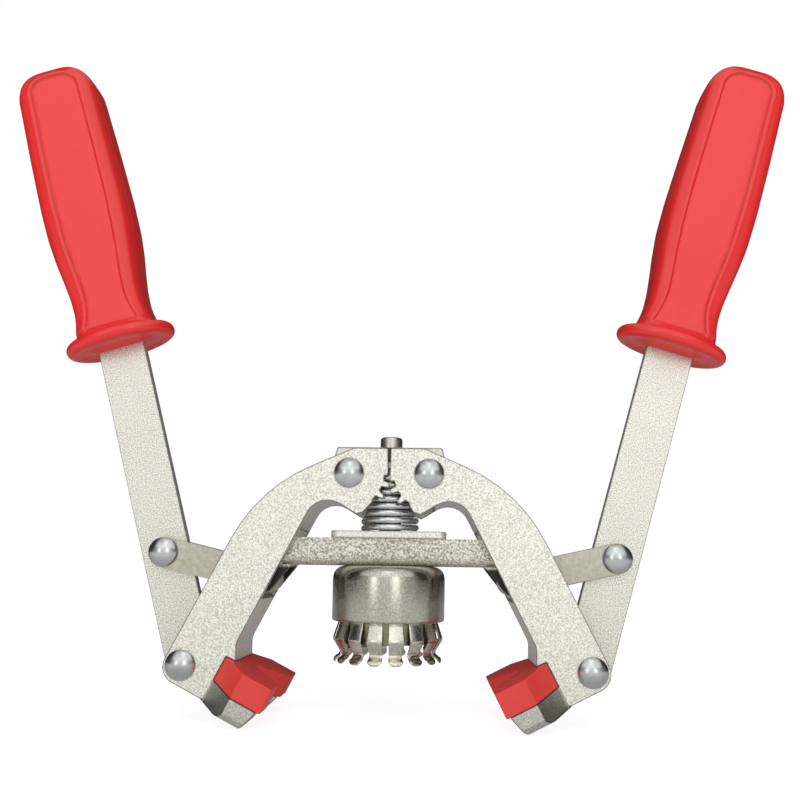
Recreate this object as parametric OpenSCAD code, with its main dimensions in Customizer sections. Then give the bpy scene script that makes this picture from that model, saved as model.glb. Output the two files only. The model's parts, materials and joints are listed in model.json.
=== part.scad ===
// Two-lever bottle capper: two geared arms hang from a top bracket, two gripped levers
// swing on the arm ends, and straps from the levers draw a crossbar with a crimping bell.
// Units are millimetres. +Z is up along the bell axis, +X is to the right, and -Y is the front.
// The origin is at the mouth of the cap guide, on the bell axis.

/* [Cap and bell] */
// Diameter of an uncrimped crown cap
crown_d = 32.0; // [28:0.1:36]
// Radial room round the crown in its guide
crown_gap = 0.2; // [0.1:0.05:0.4]
// Wall of the cap guide sleeve
guide_wall = 0.8; // [0.6:0.1:1.2]
// Depth of the crown's seat above the guide mouth
seat_depth = 4.0; // [3:0.1:5]
// Width of the ledge that stops the crown in its guide
seat_ledge = 0.7; // [0.4:0.1:1.5]
// Outer diameter of the bell cup
cup_d = 40; // [39.4:0.1:46]
// Height of the cup mouth above the guide mouth
cup_mouth_z = 7.3; // [6:0.1:9]
// Height of the bell cup
cup_h = 19.4; // [17:0.1:24]
// Thickness of the cup's top wall
cup_top = 4.5; // [3:0.1:6]
// Radius of the cup's shoulder
cup_shoulder = 5; // [2:0.1:6]

/* [Finger collet] */
// Number of spring fingers
fingers = 16; // [12:1:18]
// Width of one finger
finger_w = 4.8; // [3.6:0.1:5]
// Sheet thickness of the collet
finger_t = 0.6; // [0.5:0.05:0.8]
// How far the belly of a finger stands outside its root
finger_belly = 1.8; // [1:0.1:2.4]
// Drop from the guide mouth to the waist that crimps the skirt
waist_drop = 3.3; // [2.5:0.1:4]
// Drop from the waist to the curled tips
tip_drop = 3.6; // [3:0.1:5]
// How far the tips flare outside the waist
tip_flare = 2.4; // [1.6:0.1:3]

/* [Crossbar and spindle] */
// Height of the crossbar channel
bar_h = 9.6; // [8:0.1:12]
// Depth of the crossbar channel, front to back
bar_depth = 17; // [15:0.1:17.2]
// Sheet thickness of the crossbar
bar_t = 2; // [1.5:0.1:2.4]
// Half length of the crossbar channel
bar_half = 38; // [36:0.1:39.5]
// Diameter of the crossbar pins
pin_d = 5; // [4:0.1:5.6]
// Radius of the crossbar's pin ears
ear_r = 5; // [4.4:0.1:5.4]
// Height of the crossbar pins above the guide mouth
pin_z = 22; // [21:0.1:23]
// Distance of the crossbar pins from the bell axis
pin_x = 44; // [43:0.1:45]
// Half length of the spring seat plate
seat_half = 20.3; // [16:0.1:21]
// Thickness of the spring seat plate
seat_t = 2.5; // [2:0.1:3]
// Diameter of the spindle
spindle_d = 8; // [6:0.1:8.4]
// How far the spindle stands above the bracket
spindle_rise = 5; // [3:0.1:8]

/* [Spring] */
// Outer diameter of the return spring
spring_d = 20.8; // [19:0.1:21]
// Diameter of the spring wire
wire_d = 1.95; // [1.6:0.05:2]
// Number of curls
curls = 8; // [5:1:8]

/* [Arms] */
// Distance between the two arm pivots
pivot_span = 28; // [27.6:0.1:28.6]
// Height of the arm pivots
pivot_z = 58.8; // [58.2:0.1:59.4]
// Front to back depth over both cheeks of an arm
arm_depth = 26; // [26:0.1:30]
// Sheet thickness of the arms
arm_t = 2; // [1.4:0.1:2]
// Angle of the arm legs from upright
leg_angle = 27; // [26:0.1:28]
// Width of an arm leg
leg_w = 19.2; // [18.6:0.1:20.5]
// Distance from the lever pivot to the leg's inner edge
leg_inner = 13.3; // [12.8:0.1:14]
// Distance of the lever pivots from the bell axis
lever_x = 70; // [69:0.1:71]
// Depth of the lever pivots below the guide mouth
lever_drop = 8; // [7:0.1:9]
// Radius of the shoulder's outer sweep
shoulder_r = 56; // [40:1:60]
// Number of teeth on a full gear circle
gear_teeth = 20; // [20:1:20]

/* [Jaws] */
// Depth of a jaw pad, front to back
jaw_depth = 48; // [44:0.5:52]
// Length of a jaw pad beyond the arm leg
jaw_len = 19.7; // [18:0.1:21]
// Height of a jaw pad along the leg
jaw_h = 8.8; // [6:0.1:10]
// Half opening of the neck notch
notch_half = 13; // [9:0.1:14]
// Depth of the neck notch
notch_depth = 13; // [11:0.1:15]

/* [Levers and grips] */
// Angle of the levers from upright
lever_angle = 15.4; // [14.5:0.1:16]
// Width of a lever bar
lever_w = 17; // [15:0.1:18]
// Thickness of a lever bar
lever_t = 3.6; // [3:0.1:5]
// Distance from the lever pivot to the link pivot
link_arm = 39.9; // [39:0.1:40.5]
// Width of a link strap
link_w = 10.8; // [10.4:0.1:12]
// Thickness of a link strap
link_t = 2.5; // [1.5:0.1:2.6]
// Distance from the lever pivot to the underside of the grip flange
grip_start = 118.5; // [110:0.5:125]
// Length of a grip over its flange
grip_len = 113; // [100:0.5:130]
// Lean of a grip outward from its lever bar
grip_lean = 1.2; // [0:0.1:2]
// Width of a grip at its belly
grip_w = 32.2; // [28:0.1:36]
// Width of a grip at its neck
grip_neck = 26; // [22:0.1:27]
// Depth of a grip, front to back
grip_depth = 22; // [18:0.1:26]
// Width of the grip flange
flange_w = 40.6; // [34:0.1:42]
// Depth of the grip flange, front to back
flange_depth = 27; // [24:0.1:32]
// Thickness of the grip flange
flange_t = 5; // [3:0.1:6]

/* [Rivets and clearances] */
// Diameter of the pivot rivets
rivet_d = 6; // [5:0.1:6.4]
// Diameter of a rivet head
head_d = 10.6; // [9:0.1:11]
// Height of a rivet head
head_h = 2.6; // [2:0.1:3.2]
// Radial running clearance of a pin in its hole
run_gap = 0.05; // [0.03:0.01:0.08]
// Clearance between faces that slide past each other
side_gap = 0.3; // [0.2:0.05:0.35]
// Slip between pieces that sit together
slip = 0.1; // [0.05:0.01:0.15]
// Extra radius of a link's inner hole, where the linkage is left open
open_gap = 1.2; // [1.1:0.05:1.3]

/* [Hidden] */
$fn = 64;
eps = 0.01;

// Heights up the bell axis
cup_top_z = cup_mouth_z + cup_h;
cup_ceiling = cup_top_z - cup_top;
bar_z = cup_top_z;
bar_top = bar_z + bar_h;
seat_top = bar_top + seat_t;
bracket_t = 2;
bracket_rise = 9.4;
bracket_top = pivot_z + bracket_rise;
bush_flange_t = 2;
bush_drop = 7.2;
spring_top = bracket_top - bush_drop;

// Depths, as half distances from the middle plane
cheek_out = arm_depth / 2;
cheek_in = cheek_out - arm_t;
bracket_out = cheek_in - side_gap;
bracket_in = bracket_out - bracket_t;
link_in = lever_t / 2 + side_gap;
link_out = link_in + link_t;
ear_out = bar_depth / 2;
ear_in = ear_out - bar_t;
pin_head = 1;
pin_head_h = 0.8;

// Bell radii
guide_r = crown_d / 2 + crown_gap;
guide_out = guide_r + guide_wall;
root_in = guide_out + slip;
root_out = root_in + finger_t;
belly_out = root_out + finger_belly;
waist_in = guide_r;
waist_out = waist_in + finger_t;
tip_out = waist_out + tip_flare;
cup_bore = root_out + slip;
rim_round = 1.2;

// Rivets and spindle
rivet_r = rivet_d / 2;
spindle_r = spindle_d / 2;
nut_h = 5;
nut_r = ear_in - 0.7;
thread_in = 12;

// Places on the right-hand side, in X and Z
pivot = [pivot_span / 2, pivot_z];
lever_pivot = [lever_x, -lever_drop];
lever_dir = [sin(lever_angle), cos(lever_angle)];
link_pivot = lever_pivot + link_arm * lever_dir;
bar_pin = [pin_x, pin_z];
link_run = bar_pin - link_pivot;
link_len = norm(link_run);
link_turn = atan2(link_run[1], link_run[0]);
leg_down = [sin(leg_angle), -cos(leg_angle)];
leg_in = [-cos(leg_angle), -sin(leg_angle)];

// A point of the leg, n inward of the lever pivot and w down the leg
function leg(n, w) = lever_pivot + n * leg_in + w * leg_down;

// Where two lines cross, each given by a point and a direction
function cross_2d(a, b) = a[0] * b[1] - a[1] * b[0];
function meet(p, d, q, e) = p + d * cross_2d(q - p, e) / cross_2d(d, e);

// An outline of corners [point, radius], with each corner turned into an arc
function unit(v) = v / norm(v);
function corner_arc(a, b, c, r, steps) =
    let (u = unit(a - b), v = unit(c - b), half = acos(max(-1, min(1, u * v))) / 2)
    let (mid = b + unit(u + v) * r / sin(half), sweep = 90 - half)
    let (start = atan2(-(u + v)[1], -(u + v)[0]), side = sign(cross_2d(u, v)))
    [for (i = [0:steps]) let (t = start + side * sweep * (1 - 2 * i / steps)) mid + r * [cos(t), sin(t)]];
function rounded(corners, steps = 6) = [for (i = [0:len(corners) - 1])
    let (n = len(corners), b = corners[i][0], r = corners[i][1])
    each r == 0 ? [b] : corner_arc(corners[(i + n - 1) % n][0], b, corners[(i + 1) % n][0], r, steps)];
function arc(r, from, to, steps) =
    [for (i = [0:steps]) let (t = from + (to - from) * i / steps) r * [cos(t), sin(t)]];

// Stand a shape drawn in X and Z upright, filling Y from y0 to y1
module upright(y0, y1) {
    translate([0, y1, 0]) rotate([90, 0, 0]) linear_extrude(y1 - y0) children();
}

// The same shape on the front and the back of the middle plane
module both_sides(y0, y1) {
    upright(y0, y1) children();
    upright(-y1, -y0) children();
}

// A round bar across the object through a point in X and Z
module cross_pin(p, r, y0, y1) {
    translate([p[0], y1, p[1]]) rotate([90, 0, 0]) cylinder(r = r, h = y1 - y0);
}

module left_side() {
    mirror([1, 0, 0]) children();
}

// A rivet across the object, with a domed head outside each end of its grip
module rivet(p, grip_half, shank_r, dome_r, dome_h) {
    dome_ball = (dome_r * dome_r + dome_h * dome_h) / (2 * dome_h);
    dome_turn = asin(dome_r / dome_ball);
    dome = [for (i = [0:10]) let (t = dome_turn * (1 - i / 10))
        [dome_ball * sin(t), grip_half + dome_h - dome_ball + dome_ball * cos(t)]];
    translate([p[0], 0, p[1]]) rotate([90, 0, 0]) {
        cylinder(r = shank_r, h = 2 * grip_half + 2 * eps, center = true);
        for (end = [0, 1]) mirror([0, 0, end])
            rotate_extrude() polygon(concat([[0, grip_half]], dome));
    }
}

/* Bracket at the top: a folded strip with a lobe round each arm pivot. */
bracket_lap = 4.6;
bracket_half = pivot[0] + bracket_lap;
lobe_r = 7;
notch_top = spring_top + bush_flange_t + side_gap;
lobe_reach = 7.4;
spring_notch = pivot[0] - lobe_reach;
bracket_slope = [1.4, -6];
plate_inset = 1.2;

module bracket_outline() {
    slope = [bracket_half, bracket_top] + bracket_slope;
    polygon(rounded([
        [[-bracket_half, bracket_top], 1], [[-slope[0], slope[1]], 2],
        [[-pivot[0] - lobe_r, pivot_z], 0], [[-pivot[0] - lobe_r, pivot_z - lobe_r], lobe_r - 0.1],
        [[-spring_notch, pivot_z - lobe_r], 1], [[-spring_notch, notch_top], 1],
        [[spring_notch, notch_top], 1], [[spring_notch, pivot_z - lobe_r], 1],
        [[pivot[0] + lobe_r, pivot_z - lobe_r], lobe_r - 0.1], [[pivot[0] + lobe_r, pivot_z], 0],
        [slope, 2], [[bracket_half, bracket_top], 1]]));
}

bush_r = 5;
bush_wall = 1;
sleeve_len = 4;
flange_in = 0.4;

module frame_bracket() {
    plate_half = bracket_half - plate_inset;
    color("silver") difference() {
        union() {
            both_sides(bracket_in, bracket_out) bracket_outline();
            translate([-plate_half, -bracket_out, bracket_top - bracket_t])
                cube([2 * plate_half, 2 * bracket_out, bracket_t]);
        }
        for (side = [-1, 1])
            cross_pin([side * pivot[0], pivot_z], rivet_r, -cheek_out, cheek_out);
        translate([0, 0, bracket_top - 2 * bracket_t]) cylinder(r = bush_r, h = 3 * bracket_t);
    }
}

module guide_bush() {
    sleeve_low = spring_top - sleeve_len;
    color("darkgray") difference() {
        union() {
            translate([0, 0, sleeve_low])
                cylinder(r = bush_r + bush_wall, h = bracket_top - bracket_t - sleeve_low);
            translate([0, 0, spring_top]) cylinder(r = spring_d / 2 - flange_in, h = bush_flange_t);
            translate([0, 0, spring_top]) cylinder(r = bush_r, h = bracket_top - spring_top);
        }
        translate([0, 0, sleeve_low - 1]) cylinder(r = spindle_r + run_gap, h = bracket_top);
    }
}

module pivot_rivet() {
    color("gainsboro") rivet(pivot, cheek_out + slip, rivet_r, head_d / 2, head_h);
}

/* Arms: pressed channels with gear teeth at the top, open towards the levers. */
seam_gap = 0.3;
gear_pitch = 360 / gear_teeth;
gear_r = pivot_span / 2;
root_r = gear_r - 1.6;
tip_r = gear_r + 0.9;
land_r = gear_r - 1;
root_sink = 0.5;
root_lead = 1;
tooth_half = [5.8, 3.7, 2.4];
beak = pivot + [-2.9, -14.4];
beak_tip = pivot + [-5.3, -13.6];
arm_rise = 8.8;
leg_foot = 6.5;
foot_round = 6;
leg_outer = leg_inner - leg_w;
pad_low = -1;
pad_root = leg_inner - 0.8;
kink_in = 2.9;
kink_len = 5.5;
kink_gap = 0.2;
kink_round = 6;
kink_n = leg_inner + kink_in;
kink_low = pad_low - jaw_h - kink_gap;
kink_high = kink_low - kink_len;
arch_rise = 31;
arch_r = 8;
crown_slope = 23.5;
crown_start = pivot + [-1.6, arm_rise];
arch_corner = meet(leg(leg_inner, 0), leg_down, beak, [cos(arch_rise), sin(arch_rise)]);
crown_dir = [cos(crown_slope), -sin(crown_slope)];
shoulder_corner = meet(leg(leg_outer, 0), leg_down, crown_start, crown_dir);

// First notch below the line of centres, in degrees, on the left and on the right arm
left_notch = 8;
right_notch = left_notch + gear_pitch / 2;
notch_reach = 5.5;

module tooth(angle) {
    mid = 180 + angle;
    flank = [[root_r - root_sink, tooth_half[0]], [gear_r, tooth_half[1]], [tip_r, tooth_half[2]]];
    points = concat([for (p = flank) [p[0], -p[1]]], [for (i = [2:-1:0]) flank[i]]);
    translate(pivot) polygon([for (p = points) p[0] * [cos(mid + p[1]), sin(mid + p[1])]]);
}

module arm_outline(first_notch) {
    seam_turn = first_notch - notch_reach;
    seam_low = [seam_gap, pivot_z - (gear_r - seam_gap) * tan(seam_turn)];
    land_turn = 180 + first_notch + 2 * gear_pitch + notch_reach;
    land = pivot + land_r * [cos(land_turn), sin(land_turn)];
    root_arc = [for (p = arc(root_r, land_turn - root_lead, 180 + seam_turn + root_lead, 14)) pivot + p];
    polygon(concat(
        rounded([[[seam_gap, crown_start[1]], 0.4], [crown_start, 3], [shoulder_corner, shoulder_r],
            [leg(leg_outer, leg_foot), foot_round], [leg(pad_root - slip, leg_foot), 1],
            [leg(pad_root - slip, kink_low), 0], [leg(kink_n, kink_low), 0],
            [leg(leg_inner, kink_high), kink_round], [arch_corner, arch_r], [beak, 0.8], [beak_tip, 0]]),
        [land], root_arc, [seam_low]));
    for (i = [0:1]) tooth(first_notch + gear_pitch * (i + 0.5));
}

// The web that joins the two cheeks along the inner edge of the leg
web_reach = 2;
slot_low = -32.4;
slot_high = -59.5;
slot_half = cheek_in;

module arm_web() {
    web_inner = leg_inner - arm_t;
    arch_dir = [cos(arch_rise), sin(arch_rise)];
    arch_up = [-sin(arch_rise), cos(arch_rise)];
    web_start = meet(beak, arch_dir, pivot + [web_reach, 0], [0, 1]);
    inner_corner = meet(leg(web_inner, 0), leg_down, beak + arm_t * arch_up, arch_dir);
    difference() {
        upright(-cheek_out, cheek_out) polygon(rounded([
            [leg(kink_n, kink_low), 0], [leg(leg_inner, kink_high), kink_round], [arch_corner, arch_r],
            [web_start, 0], [web_start + arm_t * arch_up, 0], [inner_corner, arch_r + arm_t],
            [leg(web_inner, kink_high), kink_round], [leg(kink_n - arm_t, kink_low), 0]]));
        upright(-slot_half, slot_half) polygon([leg(leg_inner + 2, slot_low), leg(leg_inner + 2, slot_high),
            leg(web_inner - 2, slot_high), leg(web_inner - 2, slot_low)]);
    }
}

/* Jaws: the plan of the nose and of its pad, with n along X and the depth along Y. */
jaw_end = leg_inner + jaw_len;
jaw_flare = leg_inner + 8.7;
notch_round = 3;
nose_end = jaw_end - 1.4;
nose_low = 6.9;
nose_round = 4;

// The plan starts at a distance from the lever pivot, with a half depth there
module jaw_plan(start, start_half, end) {
    half = jaw_depth / 2;
    apex = jaw_end - notch_depth;
    notch = notch_half * (end - apex) / notch_depth;
    polygon(rounded([[[start, -start_half], 0], [[jaw_flare, -half], 0], [[end, -half], 0],
        [[end, -notch], 0], [[apex, 0], notch_round], [[end, notch], 0],
        [[end, half], 0], [[jaw_flare, half], 0], [[start, start_half], 0]]));
}

// Put a shape drawn in n, Y and down the leg into its place on the right arm
module on_leg() {
    translate([lever_pivot[0], 0, lever_pivot[1]]) rotate([0, -leg_angle, 0]) mirror([1, 0, 0]) children();
}

module jaw_nose() {
    nose_half = jaw_depth / 2 + 0.3;
    on_leg() intersection() {
        translate([0, 0, -nose_low]) linear_extrude(nose_low - pad_low)
            jaw_plan(pad_root - arm_t / 2, cheek_out - arm_t / 2, nose_end);
        rotate([90, 0, 0]) linear_extrude(jaw_depth + 2, center = true)
            polygon(rounded([[[pad_root - arm_t, 1 - pad_low], 0], [[pad_root - arm_t, -nose_low - 1], 0],
                [[nose_end - 2.5, -nose_low - 1], 5], [[nose_end + 0.5, 1 - pad_low], 0]]));
        rotate([90, 0, 90]) linear_extrude(jaw_end)
            polygon(rounded([[[-nose_half, 1 - pad_low], 0], [[-nose_half, -nose_low], nose_round],
                [[nose_half, -nose_low], nose_round], [[nose_half, 1 - pad_low], 0]]));
    }
}

module arm(first_notch) {
    color("silver") difference() {
        union() {
            both_sides(cheek_in, cheek_out) arm_outline(first_notch);
            arm_web();
            jaw_nose();
        }
        cross_pin(pivot, rivet_r + run_gap, -cheek_out - 1, cheek_out + 1);
        cross_pin(lever_pivot, rivet_r, -cheek_out - 1, cheek_out + 1);
    }
}

module jaw_pad() {
    color("crimson") on_leg()
        translate([0, 0, -pad_low]) linear_extrude(jaw_h) jaw_plan(pad_root, cheek_out, jaw_end);
}

module lever_rivet() {
    color("gainsboro") rivet(lever_pivot, cheek_out, rivet_r, head_d / 2, head_h);
}

module lever_spacers() {
    spacer_wall = 2.4;
    spacer_r = rivet_r + spacer_wall;
    color("gray") for (side = [0, 1]) mirror([0, side, 0]) difference() {
        cross_pin(lever_pivot, spacer_r, link_in, cheek_in);
        cross_pin(lever_pivot, rivet_r + run_gap, link_in - 1, cheek_in + 1);
    }
}

/* Levers and grips, drawn along Z from the lever pivot and leaned into place. */
lever_cover = 22;
lever_top = grip_start + grip_len - lever_cover;

module on_lever() {
    translate([lever_pivot[0], 0, lever_pivot[1]]) rotate([0, lever_angle, 0]) children();
}

module lever() {
    color("silver") on_lever() difference() {
        union() {
            translate([-lever_w / 2, -lever_t / 2, 0]) cube([lever_w, lever_t, lever_top]);
            cross_pin([0, 0], lever_w / 2, -lever_t / 2, lever_t / 2);
        }
        cross_pin([0, 0], rivet_r + run_gap, -lever_t, lever_t);
        cross_pin([0, link_arm], rivet_r, -lever_t, lever_t);
    }
}

// The outline of a grip over its length, for its full width at the neck, belly and head
module grip_outline(neck, belly, head, corner) {
    base = grip_start + flange_t - eps;
    top = grip_start + grip_len;
    right = [[[neck / 2 + 1.6, base], 0], [[neck / 2, base + 9.5], 12], [[neck / 2 + 0.8, base + 21.5], 14],
        [[belly / 2, base + 40.5], 20], [[head / 2, top], corner]];
    left = [for (i = [len(right) - 1:-1:0]) [[-right[i][0][0], right[i][0][1]], right[i][1]]];
    polygon(rounded(concat(right, left), 8));
}

module grip_body() {
    intersection() {
        upright(-grip_depth / 2, grip_depth / 2) grip_outline(grip_neck, grip_w, grip_w - 3, 12.5);
        rotate([0, 0, 90]) upright(-grip_w, grip_w)
            grip_outline(grip_depth - 4, grip_depth, grip_depth - 2, 7);
    }
    translate([0, 0, grip_start]) linear_extrude(flange_t)
        polygon([for (i = [0:47]) let (t = i * 7.5) [flange_w / 2 * cos(t), flange_depth / 2 * sin(t)]]);
}

module grip() {
    color("red") on_lever() difference() {
        translate([0, 0, grip_start]) rotate([0, grip_lean, 0]) translate([0, 0, -grip_start]) grip_body();
        translate([-lever_w / 2 - slip, -lever_t / 2 - slip, 0])
            cube([lever_w + 2 * slip, lever_t + 2 * slip, lever_top + slip]);
    }
}

module link_rivet() {
    color("gainsboro") rivet(link_pivot, link_out + slip, rivet_r, head_d / 2, head_h);
}

// A link strap: round ends, a running hole at the lever and an open hole at the crossbar pin
module link(y0, y1) {
    hole = pin_d / 2 + open_gap;
    color("silver") translate([link_pivot[0], 0, link_pivot[1]]) rotate([0, -link_turn, 0]) difference() {
        union() {
            translate([0, y0, -link_w / 2]) cube([link_len, y1 - y0, link_w]);
            cross_pin([0, 0], link_w / 2, y0, y1);
            cross_pin([link_len, 0], link_w / 2, y0, y1);
        }
        cross_pin([0, 0], rivet_r + run_gap, y0 - 1, y1 + 1);
        cross_pin([link_len, 0], hole, y0 - 1, y1 + 1);
    }
}

module crossbar_pin() {
    color("gainsboro") rivet(bar_pin, ear_out, pin_d / 2, pin_d / 2 + pin_head, pin_head_h);
}

/* Crossbar: a channel open at the top, whose walls run on into an ear at each end. */
module bar_wall() {
    ear_top = [bar_pin[0] + ear_r * cos(38), bar_pin[1] + ear_r * sin(38)];
    ear_low = [bar_pin[0] - ear_r * cos(30), bar_pin[1] - ear_r * sin(30)];
    for (side = [0, 1]) mirror([side, 0]) {
        polygon([[-eps, bar_z], [-eps, bar_top], [bar_half, bar_top], ear_top, bar_pin, ear_low,
            [bar_half - 4, bar_z]]);
        translate(bar_pin) circle(r = ear_r);
    }
}

module crossbar() {
    bend = bar_t + 1;
    reach = pin_x + 2 * ear_r;
    ear_start = bar_half - 1;
    color("silver") difference() {
        union() {
            intersection() {
                both_sides(ear_in, ear_out) bar_wall();
                union() {
                    translate([-reach, -ear_out, 0]) cube([2 * reach, 2 * ear_out, bar_z - eps]);
                    channel_body(bend);
                    for (side = [0, 1]) mirror([side, 0, 0])
                        translate([ear_start, -ear_out, 0])
                            cube([reach - ear_start, 2 * ear_out, bar_top + 1]);
                }
            }
            difference() {
                channel_body(bend);
                translate([-reach, -ear_in, bar_z + bar_t]) cube([2 * reach, 2 * ear_in, bar_h]);
            }
        }
        for (side = [-1, 1])
            cross_pin([side * bar_pin[0], bar_pin[1]], pin_d / 2, -ear_out - 1, ear_out + 1);
        translate([0, 0, bar_z - 1]) cylinder(r = spindle_r + slip, h = bar_t + 2);
    }
}

// The outside of the channel between its ears, with its bottom edges bent round
module channel_body(bend) {
    rotate([90, 0, 90]) linear_extrude(2 * bar_half - 2, center = true)
        polygon(rounded([[[-ear_out, bar_z], bend], [[ear_out, bar_z], bend],
            [[ear_out, bar_top], 0], [[-ear_out, bar_top], 0]]));
}

module spring_seat() {
    half_y = cheek_in - 0.5;
    color("gainsboro") difference() {
        translate([0, 0, bar_top]) linear_extrude(seat_t)
            polygon(rounded([[[-seat_half, -half_y], 3], [[seat_half, -half_y], 3],
                [[seat_half, half_y], 3], [[-seat_half, half_y], 3]]));
        translate([0, 0, bar_top - 1]) cylinder(r = spindle_r + slip, h = seat_t + 2);
    }
}

/* Spring: one tube wound on a helix between the seat plate and the bush flange. */
coil_r = (spring_d - wire_d) / 2;
wire_r = wire_d / 2;
coil_low = seat_top + wire_r + slip;
coil_high = spring_top - wire_r - slip;
coil_rise = (coil_high - coil_low) / curls;
rings_per_curl = 8;
ring_sides = 6;
coil_start = 150;
coil_rings = curls * rings_per_curl;

function coil_turn(i) = 360 * i / rings_per_curl + coil_start;
function coil_at(i) = [coil_r * cos(coil_turn(i)), coil_r * sin(coil_turn(i)),
    coil_low + coil_rise * i / rings_per_curl];
function coil_tangent(i) = [-sin(coil_turn(i)), cos(coil_turn(i)), 0];
spring_path = concat([coil_at(0) - wire_d * coil_tangent(0)],
    [for (i = [0:coil_rings]) coil_at(i)],
    [coil_at(coil_rings) + wire_d * coil_tangent(coil_rings)]);
spring_turns = concat([coil_turn(0)], [for (i = [0:coil_rings]) coil_turn(i)], [coil_turn(coil_rings)]);
spring_points = [for (i = [0:len(spring_path) - 1], k = [0:ring_sides - 1])
    let (t = spring_turns[i], s = 360 * k / ring_sides + 30)
    spring_path[i] + wire_r * (cos(s) * [cos(t), sin(t), 0] + sin(s) * [0, 0, 1])];
spring_rings = len(spring_path);
spring_faces = concat(
    [for (k = [1:ring_sides - 2]) [0, k, k + 1]],
    [for (k = [1:ring_sides - 2]) let (b = (spring_rings - 1) * ring_sides) [b, b + k + 1, b + k]],
    [for (i = [0:spring_rings - 2], k = [0:ring_sides - 1], half = [0, 1])
        let (a = i * ring_sides, b = a + ring_sides, n = (k + 1) % ring_sides)
        half == 0 ? [a + k, b + k, b + n] : [a + k, b + n, a + n]]);
// Least gap of the tube to itself, between rings that are over half a curl apart
spring_gap = min([for (i = [0:spring_rings - 1], j = [i + 5:1:min(i + 12, spring_rings - 1)])
    norm(spring_path[i] - spring_path[j]) - wire_d]);
echo(spring_gap = spring_gap);

module return_spring() {
    color("lightgray") polyhedron(points = spring_points, faces = spring_faces);
}

module spindle() {
    top = bracket_top + spindle_rise;
    low = cup_ceiling - thread_in;
    edge = 0.9;
    color("lightgray") rotate_extrude()
        polygon([[0, low], [spindle_r, low], [spindle_r, top - edge], [spindle_r - edge, top], [0, top]]);
}

module spindle_nut() {
    color("gray") difference() {
        translate([0, 0, bar_z + bar_t]) cylinder(r = nut_r, h = nut_h);
        translate([0, 0, bar_z]) cylinder(r = spindle_r, h = bar_h);
    }
}

/* Bell: cup, finger collet, cap guide and the pad that presses the crown. */
module pressure_pad() {
    pad_r = guide_r - seat_ledge - slip;
    color("dimgray") difference() {
        translate([0, 0, seat_depth]) cylinder(r = pad_r, h = cup_ceiling - seat_depth);
        translate([0, 0, cup_ceiling - thread_in]) cylinder(r = spindle_r, h = thread_in + 1);
    }
}

module bell_cup() {
    r = cup_d / 2;
    color("silver") rotate_extrude()
        polygon(rounded([[[spindle_r + slip, cup_top_z], 0], [[spindle_r + slip, cup_ceiling], 0],
            [[cup_bore, cup_ceiling], 0], [[cup_bore, cup_mouth_z], 0],
            [[r, cup_mouth_z], min(rim_round, (r - cup_bore) * 0.8)], [[r, cup_top_z], cup_shoulder]]));
}

// The wall of the collet, from its root ring in the cup to the curled tips
module collet_wall() {
    belly_z = 1.4;
    waist_z = -waist_drop;
    tip_z = waist_z - tip_drop;
    outer = [[root_out, cup_ceiling - slip], [root_out, cup_mouth_z], [belly_out, belly_z + 0.4],
        [belly_out, belly_z - 0.4], [waist_out, waist_z], [tip_out - 0.9, tip_z + 1.6],
        [tip_out, tip_z + 0.7]];
    inner = [[tip_out - 0.4, tip_z], [tip_out - 1.2, tip_z + 0.6], [waist_in, waist_z + 0.2],
        [belly_out - finger_t, belly_z - 0.5], [belly_out - finger_t, belly_z + 0.5],
        [root_in, cup_mouth_z], [root_in, cup_ceiling - slip]];
    polygon(concat(outer, inner));
}

// Turn of the first finger from the front, towards +X
finger_turn = 11.8;

module finger_collet() {
    gap_turn = 360 / fingers;
    slit_w = 2 * PI * root_out / fingers - finger_w;
    slit_top = cup_mouth_z + 3;
    slit_low = waist_drop + tip_drop + 2;
    color("silver") difference() {
        rotate_extrude() collet_wall();
        for (i = [0:fingers - 1])
            rotate([0, 0, finger_turn - 90 + gap_turn * (i + 0.5)])
                translate([0, -slit_w / 2, -slit_low]) cube([cup_d, slit_w, slit_top + slit_low]);
    }
}

module cap_guide_ring() {
    color("silver") difference() {
        cylinder(r = guide_out, h = cup_ceiling - slip);
        translate([0, 0, -1]) cylinder(r = guide_r, h = seat_depth + 1);
        translate([0, 0, -1]) cylinder(r = guide_r - seat_ledge, h = cup_ceiling + 2);
    }
}

frame_bracket();
guide_bush();
left_side() pivot_rivet();  // left_pivot_rivet
pivot_rivet();  // right_pivot_rivet
left_side() arm(left_notch);  // left_arm
arm(right_notch);  // right_arm
left_side() jaw_pad();  // left_jaw_pad
jaw_pad();  // right_jaw_pad
left_side() lever_rivet();  // left_lever_rivet
lever_rivet();  // right_lever_rivet
left_side() lever_spacers();  // left_lever_spacers
lever_spacers();  // right_lever_spacers
left_side() lever();  // left_lever
lever();  // right_lever
left_side() grip();  // left_grip
grip();  // right_grip
left_side() link_rivet();  // left_link_rivet
link_rivet();  // right_link_rivet
left_side() link(-link_out, -link_in);  // left_front_link
left_side() link(link_in, link_out);  // left_rear_link
link(-link_out, -link_in);  // right_front_link
link(link_in, link_out);  // right_rear_link
left_side() crossbar_pin();  // left_crossbar_pin
crossbar_pin();  // right_crossbar_pin
crossbar();
spring_seat();
return_spring();
spindle();
spindle_nut();
pressure_pad();
bell_cup();
finger_collet();
cap_guide_ring();
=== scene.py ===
# %% [markdown]
# # A hand bottle capper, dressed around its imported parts
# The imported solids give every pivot, bar and bore its true place. This lesson keeps that frame,
# and gives it the moulded grips, eased sheet edges, bright rivet domes and satin plating of the real
# tool. Sizes of pieces are in millimetres and become metres when a mesh is made. Finishes, camera and
# lamps are in metres from the start.

# %% Load the frame
import json
import math

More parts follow.
